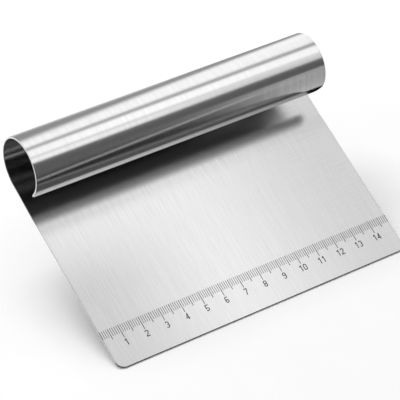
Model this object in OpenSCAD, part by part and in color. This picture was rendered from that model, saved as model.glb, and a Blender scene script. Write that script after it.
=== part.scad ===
// Dough scraper bent from one sheet of stainless steel.
// X runs along the scraping edge, Y from that edge towards the handle, Z is up.
// The origin is at the middle of the footprint, on the surface the scraper lies on.

/* [Sheet] */
// Width of the sheet, along the scraping edge
sheet_w = 148.5; // [100:0.5:200]
// Thickness of the sheet
sheet_t = 0.8; // [0.5:0.1:1.5]
// Flat length from the scraping edge to the bottom of the roll
blade_l = 93; // [60:1:130]
// Radius of the two corners beside the scraping edge
corner_r = 4; // [1:0.5:8]

/* [Rolled handle] */
// Outer radius of the back and the top of the roll
roll_r = 14.2; // [11:0.1:20]
// Outer radius of the front of the roll
front_r = 13.2; // [9:0.1:15]
// Angle of the front of the roll, from its top to the lip
front_arc = 89; // [70:1:90]
// Length of the straight lip that ends the roll
lip_l = 4.3; // [2:0.1:8]
// Lean of the lip in degrees, forward if positive, into the roll if negative
lip_lean = -5; // [-10:1:20]
// Radius of the lip's corner at the start of the scale
lip_start_r = 0.8; // [0.3:0.1:8]
// Radius of the lip's corner at the end of the scale
lip_end_r = 4; // [0.3:0.1:8]

/* [Scale] */
// Distance from one tick to the next, a true millimetre
tick_pitch = 1; // [0.9:0.05:1.2]
// Place of the scale's zero, from the left edge of the sheet
zero_x = -0.75; // [-3:0.25:6]
// Distance of the tops of the ticks from the scraping edge
scale_y = 18.1; // [14:0.1:30]
// Length of a millimetre tick
mm_tick_l = 3.7; // [2:0.1:4.5]
// Length of a half centimetre tick
half_tick_l = 4.9; // [4:0.1:5.5]
// Length of a centimetre tick
cm_tick_l = 6.1; // [5:0.1:7]
// Width of a millimetre tick
mm_tick_w = 0.22; // [0.1:0.02:0.4]
// Width of a half centimetre or centimetre tick
cm_tick_w = 0.3; // [0.2:0.02:0.6]
// Depth of the etching under the marks
etch_depth = 0.08; // [0.05:0.01:0.2]
// Height of the ink above the face of the sheet
ink_proud = 0.02; // [0.01:0.01:0.05]

/* [Numerals] */
// Height of a numeral
numeral_h = 3; // [2:0.1:4]
// Width of a numeral
numeral_w = 1.7; // [1.2:0.1:2.2]
// Width of a numeral's strokes
stroke_w = 0.4; // [0.25:0.05:0.5]
// Gap between a centimetre tick and the numeral below it
numeral_gap = 0.6; // [0.3:0.1:1.5]
// Gap between the two digits of a number
digit_gap = 0.35; // [0.2:0.05:0.8]

/* [Hidden] */

$fn = 96;
overrun = 1;

ticks_per_cm = 10;
ticks_per_half = 5;

steel_colour = [0.78, 0.78, 0.79];
ink_colour = [0.07, 0.07, 0.07];

depth = blade_l + roll_r;
front_centre_z = 2 * roll_r - front_r;
lip_top_y = blade_l - front_r * sin(front_arc);
lip_top_z = front_centre_z + front_r * cos(front_arc);
free_edge_y = lip_top_y - lip_l * sin(lip_lean);
free_edge_z = lip_top_z - lip_l * cos(lip_lean);

// Only whole ticks that lie on the sheet are marked, from the zero on.
first_tick = max(0, ceil(-zero_x / tick_pitch));
last_tick = floor((sheet_w - zero_x) / tick_pitch);
last_cm = floor(last_tick / ticks_per_cm);
numeral_y = scale_y - cm_tick_l - numeral_gap - numeral_h;
two_digits_w = 2 * numeral_w + digit_gap;

// Centre lines of a digit's outer strokes, and its bowls.
low = stroke_w / 2;
left = stroke_w / 2;
right = numeral_w - stroke_w / 2;
high = numeral_h - stroke_w / 2;
middle = numeral_w / 2;
bowl_r = (numeral_w - stroke_w) / 2;
small_bowl_r = (numeral_h - stroke_w) / 4;
low_bowl = [middle, low + bowl_r];
high_bowl = [middle, high - bowl_r];

// Places of the inner strokes, as shares of a digit's width or height.
one_stem_share = 0.6;
one_flag_shares = [0.15, 0.74];
four_stem_share = 0.7;
four_bar_share = 0.27;
seven_foot_share = 0.35;

function tick_x(i) = zero_x + i * tick_pitch;
function is_cm(i) = i % ticks_per_cm == 0;
function is_half(i) = !is_cm(i) && i % ticks_per_half == 0;
function is_mm(i) = i % ticks_per_half != 0;
function on_sheet(i, w) = tick_x(i) > w / 2 && tick_x(i) < sheet_w - w / 2;

// A profile in Y and Z, drawn out along the whole width of the sheet.
module along_width() {
    rotate([90, 0, 90])
        linear_extrude(sheet_w)
            children();
}

// The wall of a bend, from the angle a to the angle b, with r as its outer radius.
module bend(r, a, b) {
    reach = 2 * r;
    mid = (a + b) / 2;
    intersection() {
        difference() {
            circle(r);
            circle(r - sheet_t);
        }
        polygon([
            [0, 0],
            reach * [cos(a), sin(a)],
            reach * [cos((a + mid) / 2), sin((a + mid) / 2)],
            reach * [cos(mid), sin(mid)],
            reach * [cos((mid + b) / 2), sin((mid + b) / 2)],
            reach * [cos(b), sin(b)]
        ]);
    }
}

module blade_outline() {
    translate([0, corner_r])
        square([sheet_w, blade_l - corner_r]);
    translate([corner_r, 0])
        square([sheet_w - 2 * corner_r, corner_r]);
    for (x = [corner_r, sheet_w - corner_r])
        translate([x, corner_r])
            circle(corner_r);
}

module lip_profile() {
    inward = sheet_t * [cos(lip_lean), -sin(lip_lean)];
    polygon([
        [lip_top_y, lip_top_z],
        [free_edge_y, free_edge_z],
        [free_edge_y, free_edge_z] + inward,
        [lip_top_y, lip_top_z] + inward
    ]);
}

// What is cut away to round a corner of the lip to the radius r.
module lip_corner_cut(r) {
    translate([0, free_edge_y, free_edge_z])
        rotate([90 - lip_lean, 0, 0])
            translate([0, 0, -r - overrun])
                linear_extrude(r + 2 * overrun)
                    difference() {
                        translate([-overrun, -overrun])
                            square(r + overrun);
                        translate([r, r])
                            circle(r);
                    }
}

module bent_blank() {
    linear_extrude(sheet_t)
        blade_outline();
    along_width() {
        translate([blade_l, roll_r])
            bend(roll_r, -90, 90);
        translate([blade_l, front_centre_z])
            bend(front_r, 90, 90 + front_arc);
        lip_profile();
    }
}

// From the bottom of the etching to a height h above the face of the sheet.
module mark_layer(h) {
    translate([0, 0, sheet_t - etch_depth])
        linear_extrude(etch_depth + h)
            children();
}

module tick(i, w, l) {
    if (on_sheet(i, w))
        translate([tick_x(i) - w / 2, scale_y - l])
            square([w, l]);
}

module mm_ticks() {
    for (i = [first_tick : last_tick])
        if (is_mm(i))
            tick(i, mm_tick_w, mm_tick_l);
}

module half_ticks() {
    for (i = [first_tick : last_tick])
        if (is_half(i))
            tick(i, cm_tick_w, half_tick_l);
}

module cm_ticks() {
    for (i = [first_tick : last_tick])
        if (is_cm(i))
            tick(i, cm_tick_w, cm_tick_l);
}

// A straight stroke with square ends, with its centre line from p to q.
module bar(p, q) {
    run = q - p;
    translate(p)
        rotate(atan2(run.y, run.x))
            translate([0, -stroke_w / 2])
                square([norm(run), stroke_w]);
}

// A round stroke with its centre line at the radius r about c, from the angle a to the angle b.
module arc(c, r, a, b) {
    reach = 2 * (r + stroke_w);
    steps = 6;
    translate(c)
        intersection() {
            difference() {
                circle(r + stroke_w / 2);
                circle(r - stroke_w / 2);
            }
            polygon(concat([[0, 0]], [for (i = [0 : steps])
                let (t = a + (b - a) * i / steps) reach * [cos(t), sin(t)]]));
        }
}

module ring(c, r) {
    translate(c)
        difference() {
            circle(r + stroke_w / 2);
            circle(r - stroke_w / 2);
        }
}

module digit_0() {
    arc(high_bowl, bowl_r, 0, 180);
    arc(low_bowl, bowl_r, 180, 360);
    bar([left, low_bowl.y], [left, high_bowl.y]);
    bar([right, low_bowl.y], [right, high_bowl.y]);
}

module digit_1() {
    stem_x = one_stem_share * numeral_w;
    flag = [one_flag_shares[0] * numeral_w, one_flag_shares[1] * numeral_h];
    bar([stem_x, 0], [stem_x, numeral_h]);
    bar(flag, [stem_x, high]);
}

module digit_2() {
    turn = -35;
    bend_end = high_bowl + bowl_r * [cos(turn), sin(turn)];
    arc(high_bowl, bowl_r, turn, 170);
    bar([left, low], bend_end);
    bar([0, low], [numeral_w, low]);
}

module digit_3() {
    arc([middle, high - small_bowl_r], small_bowl_r, -90, 160);
    arc([middle, low + small_bowl_r], small_bowl_r, -160, 90);
}

module digit_4() {
    stem_x = four_stem_share * numeral_w;
    cross_y = four_bar_share * numeral_h;
    bar([stem_x, 0], [stem_x, numeral_h]);
    bar([left, cross_y], [stem_x, high]);
    bar([0, cross_y], [numeral_w, cross_y]);
}

module digit_5() {
    turn = 150;
    bend_end = low_bowl + bowl_r * [cos(turn), sin(turn)];
    arc(low_bowl, bowl_r, -160, turn);
    bar(bend_end, [bend_end.x, high]);
    bar([bend_end.x - stroke_w / 2, high], [numeral_w, high]);
}

module digit_6() {
    ring(low_bowl, bowl_r);
    bar([left, low_bowl.y], [left, high_bowl.y]);
    arc(high_bowl, bowl_r, 25, 180);
}

module digit_7() {
    foot_x = seven_foot_share * numeral_w;
    bar([0, high], [numeral_w, high]);
    bar([foot_x, 0], [right, high]);
}

module digit_8() {
    ring([middle, high - small_bowl_r], small_bowl_r);
    ring([middle, low + small_bowl_r], small_bowl_r);
}

module digit_9() {
    translate([numeral_w, numeral_h])
        rotate(180)
            digit_6();
}

module digit(d) {
    if (d == 0) digit_0();
    if (d == 1) digit_1();
    if (d == 2) digit_2();
    if (d == 3) digit_3();
    if (d == 4) digit_4();
    if (d == 5) digit_5();
    if (d == 6) digit_6();
    if (d == 7) digit_7();
    if (d == 8) digit_8();
    if (d == 9) digit_9();
}

// A number of one or two digits, centred on X = 0.
module number(n) {
    digits = n < 10 ? [n] : [floor(n / 10), n % 10];
    step = numeral_w + digit_gap;
    for (i = [0 : len(digits) - 1])
        translate([(i - (len(digits) - 1) / 2) * step - numeral_w / 2, 0])
            digit(digits[i]);
}

module all_numbers() {
    for (n = [1 : last_cm])
        if (tick_x(n * ticks_per_cm) < sheet_w - two_digits_w / 2)
            translate([tick_x(n * ticks_per_cm), numeral_y])
                number(n);
}

module on_table() {
    translate([-sheet_w / 2, -depth / 2, 0])
        children();
}

// The blade and the open rolled handle, bent from one blank, with the marks etched into the blade.
module rolled_sheet() {
    color(steel_colour)
        on_table()
            difference() {
                bent_blank();
                lip_corner_cut(lip_start_r);
                translate([sheet_w, 0, 0])
                    mirror([1, 0, 0])
                        lip_corner_cut(lip_end_r);
                mark_layer(overrun) {
                    mm_ticks();
                    half_ticks();
                    cm_ticks();
                    all_numbers();
                }
            }
}

module millimetre_marks() {
    color(ink_colour)
        on_table()
            mark_layer(ink_proud)
                mm_ticks();
}

module half_centimetre_marks() {
    color(ink_colour)
        on_table()
            mark_layer(ink_proud)
                half_ticks();
}

module centimetre_marks() {
    color(ink_colour)
        on_table()
            mark_layer(ink_proud)
                cm_ticks();
}

module numerals() {
    color(ink_colour)
        on_table()
            mark_layer(ink_proud)
                all_numbers();
}

rolled_sheet();
millimetre_marks();
half_centimetre_marks();
centimetre_marks();
numerals();
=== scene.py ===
"""A dough scraper rolled from one sheet of stainless steel, in a small product studio.

Everything is in metres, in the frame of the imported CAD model: X runs along the scale, Y from the
scraping edge to the rolled handle, and Z up from the underside of the blade.
"""

from math import cos, pi, radians, sin

import bmesh
import bpy
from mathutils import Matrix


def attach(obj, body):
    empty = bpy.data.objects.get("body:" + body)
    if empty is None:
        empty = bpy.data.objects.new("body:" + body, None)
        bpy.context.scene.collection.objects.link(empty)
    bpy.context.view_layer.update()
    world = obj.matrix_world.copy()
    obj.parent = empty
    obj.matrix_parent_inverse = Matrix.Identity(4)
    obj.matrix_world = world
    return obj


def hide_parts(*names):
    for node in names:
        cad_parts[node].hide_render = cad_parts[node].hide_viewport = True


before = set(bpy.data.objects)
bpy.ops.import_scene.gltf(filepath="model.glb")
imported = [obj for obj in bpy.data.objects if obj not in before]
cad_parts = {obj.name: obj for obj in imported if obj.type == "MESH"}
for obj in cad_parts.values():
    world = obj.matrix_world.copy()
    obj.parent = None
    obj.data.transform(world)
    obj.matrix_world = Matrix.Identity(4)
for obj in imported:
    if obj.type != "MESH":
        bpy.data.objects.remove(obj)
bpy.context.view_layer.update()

# The camera: a long lens, a little under a metre from the scraper, in front of its left corner.
# Its place and turn were solved from the outline and the scale marks.
CAMERA_PLACE = (-0.44881, -0.30173, 0.80870)
CAMERA_TURN = (radians(30.2910), radians(-15.8134), radians(-30.7898))
SENSOR_WIDTH = 36.0  # in millimetres, as the lens is
LENS = 203.3
bpy.ops.object.select_all(action="DESELECT")
bpy.ops.object.camera_add(location=CAMERA_PLACE, rotation=CAMERA_TURN)
camera = bpy.context.object
camera.name = "product_camera"
camera.data.sensor_width = SENSOR_WIDTH
camera.data.lens = LENS
bpy.context.scene.camera = camera
bpy.context.scene.view_settings.view_transform = "Standard"

# The sheet: blade, grip and lip are one piece of 0.8 mm stainless steel. It is cut flat, its
# corners are rounded, its faces are brushed, and its back is then rolled up and over, forward,
# into the hollow grip.
MM = 0.001
SHEET_WIDTH = 148.5 * MM
SHEET_THICKNESS = 0.8 * MM
FRONT_Y = -53.6 * MM  # the scraping edge
BEND_Y = 39.4 * MM  # where the flat blade turns up into the roll
ROLL_RADIUS = 14.2 * MM  # outside, up the back and over the top
FRONT_RADIUS = 13.2 * MM  # outside, down the front
FRONT_CENTRE_Z = 2 * ROLL_RADIUS - FRONT_RADIUS
FRONT_ARC = radians(89)
LIP_LENGTH = 4.3 * MM
LIP_LEAN = radians(-5)  # it curls slightly into the roll
BLADE_CORNER = 4.0 * MM
# the lip's corners by side: sharp where the scale starts, round where it ends
LIP_CORNERS = ((-1, 0.8 * MM), (1, 4.0 * MM))
EDGE_BREAK = 0.12 * MM
# rolling pulls a shallow hollow into the blade in front of the bend, deeper where the scale starts
HOLLOW_START_Y = 10.0 * MM
HOLLOW_LOW_Y = 22.4 * MM
HOLLOW_DEPTHS = (0.46 * MM, 0.20 * MM)
FLAT_ROW = 1.0 * MM  # a narrow row that keeps the big face flat where the hollow starts
HOLLOW_ROWS = 30
ROLL_STEPS = 56
FRONT_STEPS = 28
CORNER_STEPS = 12
RIM_ANGLE = radians(50)  # edges sharper than this are broken
SMOOTH_ANGLE = radians(20)
NEAR = 0.01 * MM


def pick(thing, kind, wanted):
    """In edit mode, selects the vertices or edges whose ends all pass wanted(x, y, z)."""
    mesh = bmesh.from_edit_mesh(thing.data)
    for group in (mesh.verts, mesh.edges, mesh.faces):
        for part in group:
            part.select_set(False)
    mesh.select_mode = {kind}
    bpy.context.tool_settings.mesh_select_mode = (kind == "VERT", kind == "EDGE", False)
    for part in mesh.verts if kind == "VERT" else mesh.edges:
        ends = [part] if kind == "VERT" else part.verts
        if all(wanted(*end.co) for end in ends):
            part.select_set(True)
    mesh.select_flush_mode()
    bmesh.update_edit_mesh(thing.data)


def hollow_share(y):
    """How far down the hollow is at y, from 0 at its rims to 1 at its lowest line."""
    if y < HOLLOW_LOW_Y:
        along = (y - HOLLOW_START_Y) / (HOLLOW_LOW_Y - HOLLOW_START_Y)
    else:
        along = (BEND_Y - y) / (BEND_Y - HOLLOW_LOW_Y)
    return (1 - cos(pi * along)) / 2


bpy.ops.object.select_all(action="DESELECT")
bpy.ops.mesh.primitive_plane_add(size=1.0, enter_editmode=True)
sheet = bpy.context.object
sheet.name = "scraper_sheet"
flat_end_y = HOLLOW_START_Y - FLAT_ROW
bpy.ops.transform.resize(value=(SHEET_WIDTH, flat_end_y - FRONT_Y, 1.0))
bpy.ops.transform.translate(value=(0, (FRONT_Y + flat_end_y) / 2, 0))
# the two corners of the scraping edge
pick(sheet, "VERT", lambda x, y, z: y < FRONT_Y + NEAR)
bpy.ops.mesh.bevel(offset=BLADE_CORNER, segments=CORNER_STEPS, affect="VERTICES")
# the narrow row, then the hollow row by row, each turned a little because one side is deeper
pick(sheet, "EDGE", lambda x, y, z: y > flat_end_y - NEAR)
bpy.ops.mesh.extrude_region()
bpy.ops.transform.translate(value=(0, FLAT_ROW, 0))
row_step = (BEND_Y - HOLLOW_START_Y) / HOLLOW_ROWS
mean_depth = sum(HOLLOW_DEPTHS) / 2
twist = (HOLLOW_DEPTHS[0] - HOLLOW_DEPTHS[1]) / SHEET_WIDTH
for row in range(HOLLOW_ROWS):
    y = HOLLOW_START_Y + row * row_step
    deeper = hollow_share(y + row_step) - hollow_share(y)
    bpy.ops.mesh.extrude_region()
    bpy.ops.transform.translate(value=(0, row_step, -mean_depth * deeper))
    bpy.ops.transform.rotate(
        value=twist * deeper, orient_axis="Y", center_override=(0, y + row_step, 0)
    )
# up the back, over the top, down the front, and the straight lip
bpy.ops.mesh.spin(steps=ROLL_STEPS, angle=pi, center=(0, BEND_Y, ROLL_RADIUS), axis=(-1, 0, 0))
bpy.ops.mesh.spin(
    steps=FRONT_STEPS,
    angle=FRONT_ARC,
    center=(0, BEND_Y, FRONT_CENTRE_Z),
    axis=(-1, 0, 0),
)
bpy.ops.mesh.extrude_region()
lip_drop = LIP_LENGTH * cos(LIP_LEAN)
bpy.ops.transform.translate(value=(0, -LIP_LENGTH * sin(LIP_LEAN), -lip_drop))
free_edge_z = FRONT_CENTRE_Z + FRONT_RADIUS * cos(FRONT_ARC) - lip_drop
for side, radius in LIP_CORNERS:
    pick(
        sheet,
        "VERT",
        lambda x, y, z: side * x > 0 and y < BEND_Y and abs(z - free_edge_z) < NEAR,
    )
    bpy.ops.mesh.bevel(offset=radius, segments=CORNER_STEPS, affect="VERTICES")
bpy.ops.mesh.select_all(action="SELECT")
bpy.ops.mesh.remove_doubles(threshold=NEAR)
bpy.ops.mesh.normals_make_consistent(inside=False)
# these faces are the blade's underside and the roll's outside, so they point down and outwards
shell = bmesh.from_edit_mesh(sheet.data)
shell.normal_update()
blade_face = max(shell.faces, key=lambda face: face.calc_area())
if blade_face.normal.z > 0:
    bpy.ops.mesh.flip_normals()
bpy.ops.object.mode_set(mode="OBJECT")

wall = sheet.modifiers.new("thickness", "SOLIDIFY")
wall.thickness = SHEET_THICKNESS
wall.offset = -1
wall.use_even_offset = True
bpy.ops.object.modifier_apply(modifier=wall.name)
rim = sheet.modifiers.new("broken edges", "BEVEL")
rim.width = EDGE_BREAK
rim.segments = 2
rim.limit_method = "ANGLE"
rim.angle_limit = RIM_ANGLE
bpy.ops.object.modifier_apply(modifier=rim.name)
bpy.ops.object.shade_smooth_by_angle(angle=SMOOTH_ANGLE)
# The grain stretches highlights along X. The shader takes that direction from the mesh's texture
# space, so its centre is put far in front of the sheet.
sheet.data.use_auto_texspace = False
sheet.data.texspace_location = (0, -10, 0)
sheet.data.texspace_size = (1000, 1, 1)


class Sock:
    """A shader socket that Python's operators work on: each adds one Math node."""

    def __init__(self, tree, socket):
        self.tree = tree
        self.socket = socket

    def node(self, kind, settings=None, **values):
        """Adds a node, sets its settings, then the values or links of its sockets."""
        made = self.tree.nodes.new(kind)
        for name, value in (settings or {}).items():
            setattr(made, name, value)
        for name, value in values.items():
            wanted = name.replace("_", " ").lower()
            if wanted[0] == "i" and wanted[1:].isdigit():
                target = made.inputs[int(wanted[1:])]
            else:
                target = next(s for s in made.inputs if s.name.lower() == wanted and s.enabled)
            if isinstance(value, Sock):
                self.tree.links.new(value.socket, target)
            else:
                target.default_value = value
        return made

    def out(self, made, name=0):
        return Sock(self.tree, made.outputs[name])

    def math(self, operation, first, second=0.0):
        return self.out(self.node("ShaderNodeMath", {"operation": operation}, i0=first, i1=second))

    def __add__(self, other):
        return self.math("ADD", self, other)

    def __radd__(self, other):
        return self.math("ADD", other, self)

    def __sub__(self, other):
        return self.math("SUBTRACT", self, other)

    def __rsub__(self, other):
        return self.math("SUBTRACT", other, self)

    def __mul__(self, other):
        return self.math("MULTIPLY", self, other)

    def __rmul__(self, other):
        return self.math("MULTIPLY", other, self)


def new_material(name):
    """An empty node material, and the Object coordinates of the piece that wears it."""
    material = bpy.data.materials.new(name)
    material.use_nodes = True
    tree = material.node_tree
    tree.nodes.clear()
    place = tree.nodes.new("ShaderNodeTexCoord")
    return material, Sock(tree, place.outputs["Object"])


def streaks(place, across, along, turn=False):
    """Brush lines across mm apart and along mm long, round the roll or, turned, along X."""
    fine, slow = 1000 / across, 1000 / along
    scale = (slow, fine, fine) if turn else (fine, slow, slow)
    mapped = place.out(place.node("ShaderNodeMapping", Vector=place, Scale=scale), "Vector")
    noise = place.node("ShaderNodeTexNoise", Vector=mapped, Scale=1.0, Detail=2.0, Roughness=0.6)
    return place.out(noise, "Fac")


def smooth_range(value, low, high, to_low, to_high):
    """Takes low to high over to to_low to to_high, in a soft step."""
    made = value.node(
        "ShaderNodeMapRange",
        {"interpolation_type": "SMOOTHSTEP"},
        Value=value,
        From_Min=low,
        From_Max=high,
        To_Min=to_low,
        To_Max=to_high,
    )
    return value.out(made, "Result")


def noise_range(noise, to_low, to_high):
    """Spreads the middle of a noise, where nearly all of it lies, from to_low to to_high."""
    return smooth_range(noise, 0.3, 0.7, to_low, to_high)


def along_axes(place):
    axes = place.node("ShaderNodeSeparateXYZ", Vector=place)
    return [place.out(axes, name) for name in "XYZ"]


def same_grey(grey):
    """A colour whose red, green and blue are all grey."""
    return grey.out(grey.node("ShaderNodeCombineColor", Red=grey, Green=grey, Blue=grey), "Color")


def brushed_steel():
    material, place = new_material("brushed_stainless_steel")
    x, y, z = along_axes(place)
    # hairlines and broader bands down the blade, with lines along X among them on the right
    hair = streaks(place, 0.25, 12)
    band = streaks(place, 0.9, 60)
    cross = streaks(place, 0.3, 14, turn=True)
    crossed = smooth_range(x, 20 * MM, 60 * MM, 0.0, 0.6)
    lines = hair * (1 - crossed) + cross * crossed
    tone = lines * 0.65 + band * 0.35
    # the roll is a little brighter
    roll_brighter = smooth_range(z, 2 * MM, 8 * MM, 0.0, 0.06)
    # its inside is painted a quarter darker, as shade inside the hollow grip: it is told from the
    # outside by the distance from the arc's centre, less what the back's arc is larger than the
    # front's
    behind = y.math("GREATER_THAN", y, BEND_Y) * (ROLL_RADIUS - FRONT_RADIUS)
    back = y - BEND_Y
    high = z - (FRONT_CENTRE_Z - behind)
    from_axis = y.math("SQRT", back * back + high * high) - behind
    middle = FRONT_RADIUS - SHEET_THICKNESS / 2
    inside = smooth_range(from_axis, middle - 0.1 * MM, middle + 0.1 * MM, 1.0, 0.0)
    inside = inside * smooth_range(z, 1.2 * MM, 6 * MM, 0.0, 1.0)
    # the blade is darker towards its front left corner and its right edge
    blade = smooth_range(z, 1 * MM, 3 * MM, 1.0, 0.0)
    left_darker = smooth_range(x, -70 * MM, -5 * MM, 0.22, 0.0)
    left_darker = left_darker * smooth_range(y, -20 * MM, 12 * MM, 1.0, 0.0)
    right_darker = smooth_range(x, -10 * MM, 70 * MM, 0.03, 0.22)
    bare_steel = 0.585
    grey = bare_steel + noise_range(tone, -0.024, 0.024) + roll_brighter
    # painted shade: the roll's inside a quarter darker; the blade darker towards its front left
    # corner and its right edge
    grey = grey * (1 - inside * 0.25) * (1 - blade * (left_darker + right_darker))
    bump = place.node("ShaderNodeBump", Strength=0.05, Distance=0.005 * MM, Height=tone)
    shader = place.node(
        "ShaderNodeBsdfPrincipled",
        Base_Color=same_grey(grey),
        Metallic=1.0,
        Roughness=noise_range(tone, 0.22, 0.18),
        Anisotropic=0.3,
        Normal=place.out(bump, "Normal"),
    )
    place.node("ShaderNodeOutputMaterial", Surface=place.out(shader, "BSDF"))
    return material


sheet.data.materials.clear()
sheet.data.materials.append(brushed_steel())
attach(sheet, "root")
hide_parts("rolled_sheet")

# The scale: 149 lines and 19 digits on the blade's upper face, etched and filled with matt black
# ink. They are the CAD's own solids, which stand a hair above the steel.
SCALE_NODES = ("millimetre_marks", "half_centimetre_marks", "centimetre_marks", "numerals")


def scale_ink():
    material, place = new_material("black_scale_ink")
    mottle = place.node("ShaderNodeTexNoise", Vector=place, Scale=2500.0, Detail=3.0, Roughness=0.6)
    mottle = place.out(mottle, "Fac")
    bump = place.node("ShaderNodeBump", Strength=0.2, Distance=0.02 * MM, Height=mottle)
    shader = place.node(
        "ShaderNodeBsdfPrincipled",
        Base_Color=same_grey(noise_range(mottle, 0.018, 0.05)),
        Roughness=noise_range(mottle, 0.5, 0.65),
        Normal=place.out(bump, "Normal"),
    )
    place.node("ShaderNodeOutputMaterial", Surface=place.out(shader, "BSDF"))
    return material


ink = scale_ink()
for name in SCALE_NODES:
    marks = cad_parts[name]
    marks.data.materials.clear()
    marks.data.materials.append(ink)

# The table: the scraper stands on its scraping edge on a white table, with its handle raised, so
# in the scraper's own frame the table falls away behind that edge. It is seen only from above.
BLADE_TILT = radians(29)
TABLE_SIZE = 6.0
bpy.ops.object.select_all(action="DESELECT")
bpy.ops.mesh.primitive_plane_add(size=1.0, enter_editmode=True)
table = bpy.context.object
table.name = "white_table"
bpy.ops.transform.resize(value=(TABLE_SIZE, TABLE_SIZE, 1.0))
bpy.ops.mesh.subdivide(number_cuts=6)
bpy.ops.object.mode_set(mode="OBJECT")
table.rotation_euler = (-BLADE_TILT, 0, 0)
table.location = (0, FRONT_Y, 0)
table.visible_glossy = False  # the cards below stand for it in the steel


def table_white():
    material, place = new_material("white_table_top")
    grain = place.node("ShaderNodeTexNoise", Vector=place, Scale=40.0, Detail=2.0)
    white = same_grey(noise_range(place.out(grain, "Fac"), 0.985, 0.995))
    top = place.out(place.node("ShaderNodeBsdfDiffuse", Color=white), "BSDF")
    clear = place.out(place.node("ShaderNodeBsdfTransparent"), "BSDF")
    under = place.out(place.node("ShaderNodeNewGeometry"), "Backfacing")
    mixed = place.node("ShaderNodeMixShader", i0=under, i1=top, i2=clear)
    place.node("ShaderNodeOutputMaterial", Surface=place.out(mixed, "Shader"))
    return material


table.data.materials.append(table_white())

# The white tent: even white light from all round. The camera and the steel see it at full
# strength. The table takes half of its light from it, and half from a soft window behind it.
TENT_ON_TABLE = 0.48
WINDOW_PLACE = (-0.28, 1.33, 0.81)  # high behind the handle, a little to the left
WINDOW_SIZE = 1.1
WINDOW_WATTS = 18.6
world = bpy.data.worlds.new("white_tent")
bpy.context.scene.world = world
world.use_nodes = True
world.node_tree.nodes.clear()
path = world.node_tree.nodes.new("ShaderNodeLightPath")
seen, mirrored, through = (
    Sock(world.node_tree, path.outputs[name])
    for name in ("Is Camera Ray", "Is Glossy Ray", "Is Transmission Ray")
)
in_full = seen.math("MAXIMUM", seen, mirrored.math("MAXIMUM", mirrored, through))
strength = TENT_ON_TABLE + in_full * (1 - TENT_ON_TABLE)
sky = seen.node("ShaderNodeBackground", Color=(1, 1, 1, 1), Strength=strength)
seen.node("ShaderNodeOutputWorld", Surface=seen.out(sky, "Background"))

bpy.ops.object.select_all(action="DESELECT")
bpy.ops.object.light_add(type="AREA", location=WINDOW_PLACE)
window = bpy.context.object
window.name = "soft_window"
window.data.shape = "SQUARE"
window.data.size = WINDOW_SIZE
window.data.energy = WINDOW_WATTS
to_scraper = -window.location
window.rotation_euler = to_scraper.to_track_quat("-Z", "Y").to_euler()
window.visible_glossy = False

# The cards: softboxes and flags round the bench, seen only in the steel. They hang on a drum round
# the handle's axis: angles are in degrees from straight overhead, minus to the front and plus to
# the back, and sides are along X.
DRUM_RADIUS = 0.6
DRUM_LENGTH = 3.0
CARD_MIDDLE = 0.277  # where on the drum the middle of the scraper sees itself in
CARD_LEVEL = 1.43  # steel returns three fifths of the light, so this much makes it look white
handle_axis = (0, BEND_Y, ROLL_RADIUS)
bpy.ops.object.select_all(action="DESELECT")
bpy.ops.mesh.primitive_cylinder_add(
    vertices=96,
    radius=DRUM_RADIUS,
    depth=DRUM_LENGTH,
    enter_editmode=True,
    location=handle_axis,
)
drum = bpy.context.object
drum.name = "studio_cards"
bpy.ops.transform.rotate(value=pi / 2, orient_axis="Y", center_override=handle_axis)
bpy.ops.object.mode_set(mode="OBJECT")


def show_only_in_steel(thing):
    for way in ("camera", "diffuse", "transmission", "volume_scatter", "shadow"):
        setattr(thing, "visible_" + way, False)


show_only_in_steel(drum)


def hang(light, spot, angles, sides, white, soft=3.0, soft_side=0.03, lean=0.0):
    """Lays a soft-edged card over what the drum shows so far. Lean skews it, in degrees a metre."""
    angle, x = spot
    angle = angle - (x - CARD_MIDDLE) * lean
    over = (
        smooth_range(angle, angles[0] - soft, angles[0] + soft, 0.0, 1.0)
        * smooth_range(angle, angles[1] - soft, angles[1] + soft, 1.0, 0.0)
        * smooth_range(x, sides[0] - soft_side, sides[0] + soft_side, 0.0, 1.0)
        * smooth_range(x, sides[1] - soft_side, sides[1] + soft_side, 1.0, 0.0)
    )
    return light * (1 - over) + white * over


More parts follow.
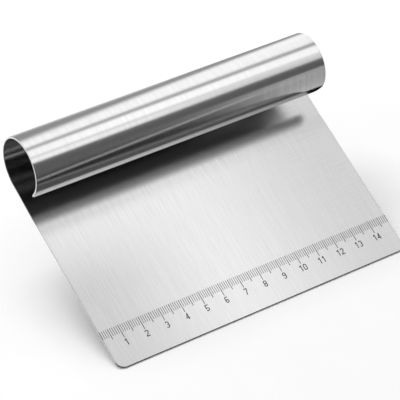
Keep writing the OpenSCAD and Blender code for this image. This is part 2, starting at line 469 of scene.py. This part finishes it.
def cards():
    material, place = new_material("softboxes_and_flags")
    x, y, z = along_axes(place)
    spot = (y.math("DEGREES", y.math("ARCTAN2", y, z)), x)
    far = DRUM_LENGTH / 2 + 0.1
    light = 1.0
    # nearly black in front, with a panel at its right end
    light = hang(light, spot, (-190, -23), (-far, far), 0.10, soft=4)
    light = hang(light, spot, (-190, -72), (-far, far), 0.0, soft=6, lean=60)
    light = hang(light, spot, (-150, -56), (0.37, 0.47), 0.55, soft_side=0.02)
    # the front softbox, the gap, the overhead softbox, the dark gap behind it
    light = hang(light, spot, (-23, -9), (-far, 0.31), 1.0, soft_side=0.05)
    light = hang(light, spot, (-23, -9), (0.31, far), 0.62, soft_side=0.05)
    light = hang(light, spot, (-8, 0), (-far, far), 0.65)
    light = hang(light, spot, (1, 27), (-far, far), 1.10)
    light = hang(light, spot, (1, 27), (-far, 0.20), 0.95, soft_side=0.06)
    light = hang(light, spot, (1, 27), (0.36, far), 1.0, soft_side=0.06)
    light = hang(light, spot, (27, 41), (-far, far), 0.36, lean=15)
    # the back softbox and what is below it
    light = hang(light, spot, (43, 93), (-far, far), 1.02, lean=60)
    light = hang(light, spot, (86, 190), (-far, far), 0.27, soft=13, lean=170)
    light = hang(light, spot, (122, 150), (-far, 0.32), 0.5, soft=5)
    light = hang(light, spot, (150, 190), (0.0, far), 0.1)
    # beyond the right end all but the overhead light is black, and so are the drum's ends
    light = hang(light, spot, (-200, -36), (0.52, far), 0.02)
    light = hang(light, spot, (36, 200), (0.52, far), 0.02)
    end = DRUM_LENGTH / 2 - 0.01
    light = hang(light, spot, (-200, 200), (-far, -end), 0.02, soft_side=0.005)
    light = hang(light, spot, (-200, 200), (end, far), 0.02, soft_side=0.005)
    glow = place.node("ShaderNodeEmission", Color=same_grey(light), Strength=CARD_LEVEL)
    place.node("ShaderNodeOutputMaterial", Surface=place.out(glow, "Emission"))
    return material


drum.data.materials.append(cards())

# The strip: white card just in front of the scraping edge, higher on the right, seen only in the
# steel. It draws the thin bright line along the front of the roll.
STRIP_PLACE = (0.05, -0.075, 0.046)
STRIP_SIZE = (0.6, 0.04)
STRIP_SLOPE = radians(17)
STRIP_LIGHT = 0.6
bpy.ops.object.select_all(action="DESELECT")
bpy.ops.mesh.primitive_plane_add(size=1.0, enter_editmode=True, location=STRIP_PLACE)
strip = bpy.context.object
strip.name = "white_strip"
bpy.ops.transform.resize(value=(*STRIP_SIZE, 1.0))
bpy.ops.object.mode_set(mode="OBJECT")
strip.rotation_euler = (pi / 2, -STRIP_SLOPE, 0)
show_only_in_steel(strip)


def strip_white():
    """White along the plane's middle, fading to nothing above and below."""
    material, place = new_material("white_strip_card")
    _, up, _ = along_axes(place)
    white = smooth_range(up, -9 * MM, -2 * MM, 0.0, 1.0)
    white = white * smooth_range(up, 2 * MM, 9 * MM, 1.0, 0.0)
    glow = place.node("ShaderNodeEmission", Color=(1, 1, 1, 1), Strength=STRIP_LIGHT)
    glow = place.out(glow, "Emission")
    clear = place.out(place.node("ShaderNodeBsdfTransparent"), "BSDF")
    mixed = place.node("ShaderNodeMixShader", i0=white, i1=clear, i2=glow)
    place.node("ShaderNodeOutputMaterial", Surface=place.out(mixed, "Shader"))
    return material


strip.data.materials.append(strip_white())
